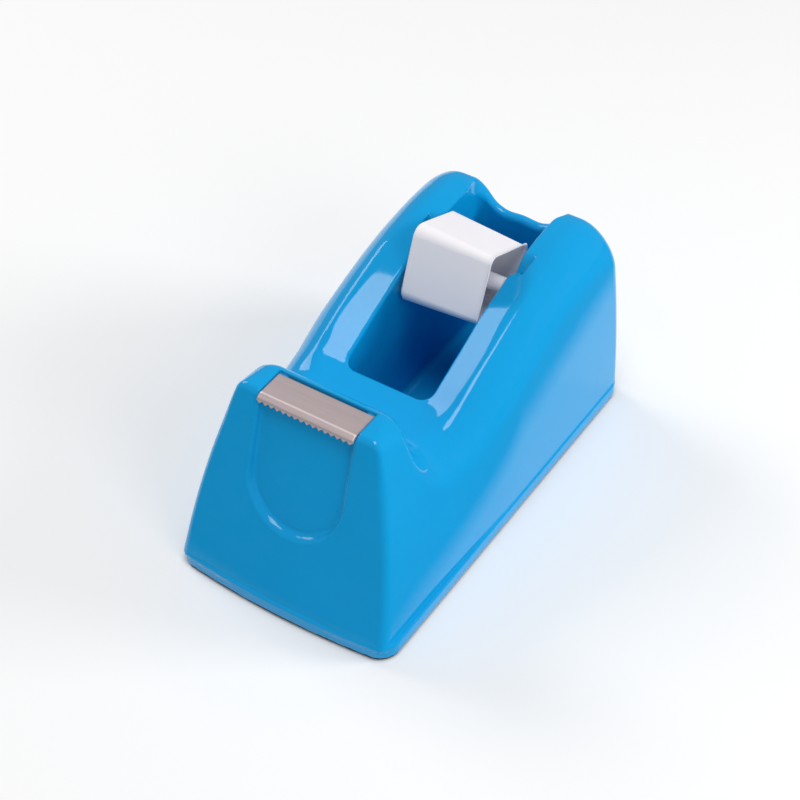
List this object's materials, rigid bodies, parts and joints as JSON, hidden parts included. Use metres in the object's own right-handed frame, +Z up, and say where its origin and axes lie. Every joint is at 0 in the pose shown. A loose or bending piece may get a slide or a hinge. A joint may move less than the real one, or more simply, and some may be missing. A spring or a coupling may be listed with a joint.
{
  "type": "tape dispenser",
  "caption": "Weighted desk tape dispenser: moulded shell with a tape well, toothed cutter blade at the front, and a lift-out white core that spins in two slots.",
  "frame": {"origin": "middle of the footprint, on the desk", "axes": "+Z up, +Y from the cutter end to the back, +X to the right seen from the cutter end"},
  "size_m": [0.056, 0.105, 0.0562],
  "materials": {
    "shell_plastic": "glossy moulded sky-blue plastic",
    "base_plastic": "satin black plastic",
    "pad_foam": "dark closed-cell foam",
    "ballast_steel": "raw rolled steel",
    "screw_steel": "zinc plated",
    "blade_steel": "brushed stainless strip",
    "core_plastic": "glossy white plastic",
    "axle_plastic": "glossy white plastic"
  },
  "bodies": {
    "housing": {"body_shell": "shell_plastic", "base_plate": "base_plastic", "foot_pad": "pad_foam", "ballast_weight": "ballast_steel", "base_screws": "screw_steel", "cutter_blade": "blade_steel"},
    "axle": {"core_axle": "axle_plastic"},
    "core": {"tape_core": "core_plastic"}
  },
  "joints": [
    {"name": "axle_lift", "type": "slide", "parent": "housing", "child": "axle", "axis": [0, 0.7254, 0.6884], "range_m": [0, 0.045]},
    {"name": "core_spin", "type": "hinge", "parent": "axle", "child": "core", "pos_m": [0, 0.0234, 0.0449], "axis": [1, 0, 0], "continuous": true}
  ]
}
